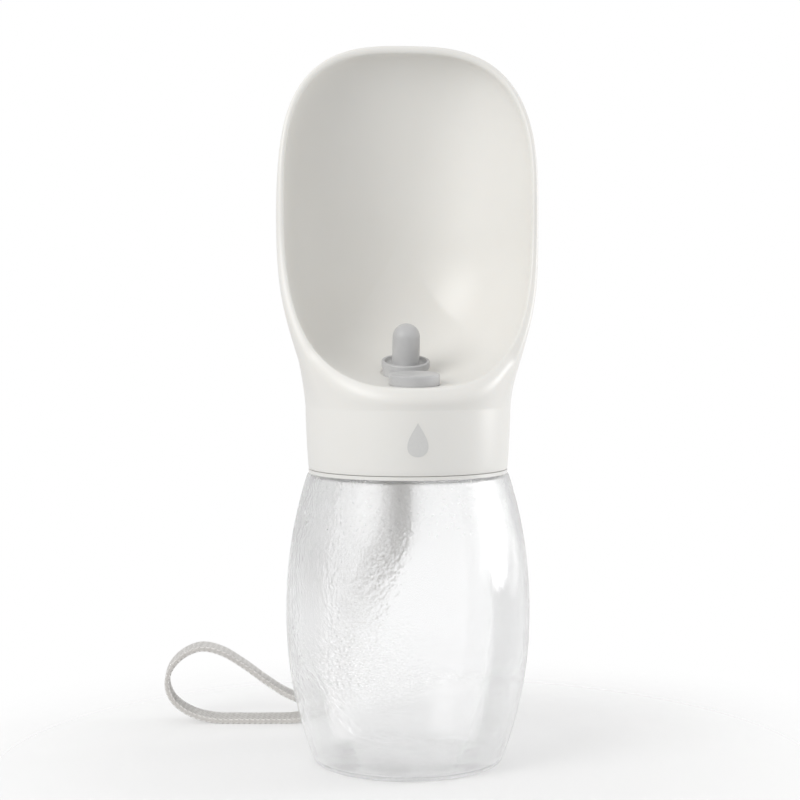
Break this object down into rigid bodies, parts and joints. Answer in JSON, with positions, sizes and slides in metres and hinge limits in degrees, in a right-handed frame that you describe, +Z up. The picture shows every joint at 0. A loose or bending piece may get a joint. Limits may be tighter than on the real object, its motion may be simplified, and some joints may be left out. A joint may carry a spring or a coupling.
{
  "type": "travel pet water bottle",
  "caption": "Squeeze bottle for walks with a dog: a screwed-on scoop to drink from, a flip-out silicone stopper over its outlet, a carry ring and a webbing wrist strap",
  "frame": {"origin": "on the bottle's axis, at the level of its base", "axes": "+Z up along the bottle's axis, -Y to the side that the scoop opens to, +X to the viewer's right when facing that side"},
  "size_m": [0.1117, 0.0985, 0.2106],
  "materials": {
    "clear_bottle": "clear soft plastic with a fine orange-peel surface",
    "white_plastic": "moulded white plastic, satin",
    "scoop_plastic": "warm white, satin outside and smoother in the bowl",
    "gasket_rubber": "translucent silicone",
    "grey_silicone": "soft silicone, matte",
    "webbing": "flat woven herringbone webbing",
    "thread": "sewing thread"
  },
  "bodies": {
    "bottle_and_strap": {"bottle": "clear_bottle", "carry_ring": "white_plastic", "strap_bight": "webbing", "strap_stitching": "thread", "strap_loop": "webbing"},
    "gasket": {"neck_gasket": "gasket_rubber"},
    "head": {"thread_insert": "white_plastic", "drinking_scoop": "scoop_plastic", "stopper_anchor": "grey_silicone"},
    "plug": {"stopper_plug": "grey_silicone"}
  },
  "joints": [
    {"name": "head_lift", "type": "slide", "parent": "bottle_and_strap", "child": "gasket", "axis": [0, 0, 1], "range_m": [0, 0.0061]},
    {"name": "head_turn", "type": "hinge", "parent": "gasket", "child": "head", "pos_m": [0, 0, 0], "axis": [0, 0, 1], "range_deg": [0, 480]},
    {"name": "plug_flip", "type": "hinge", "parent": "head", "child": "plug", "pos_m": [-0.001, -0.01204, 0.11362], "axis": [1, 0, 0], "range_deg": [0, 90]}
  ],
  "couplings": [
    {"joint": "head_lift", "follows": "head_turn", "m_per_rad": 0.0007162}
  ]
}
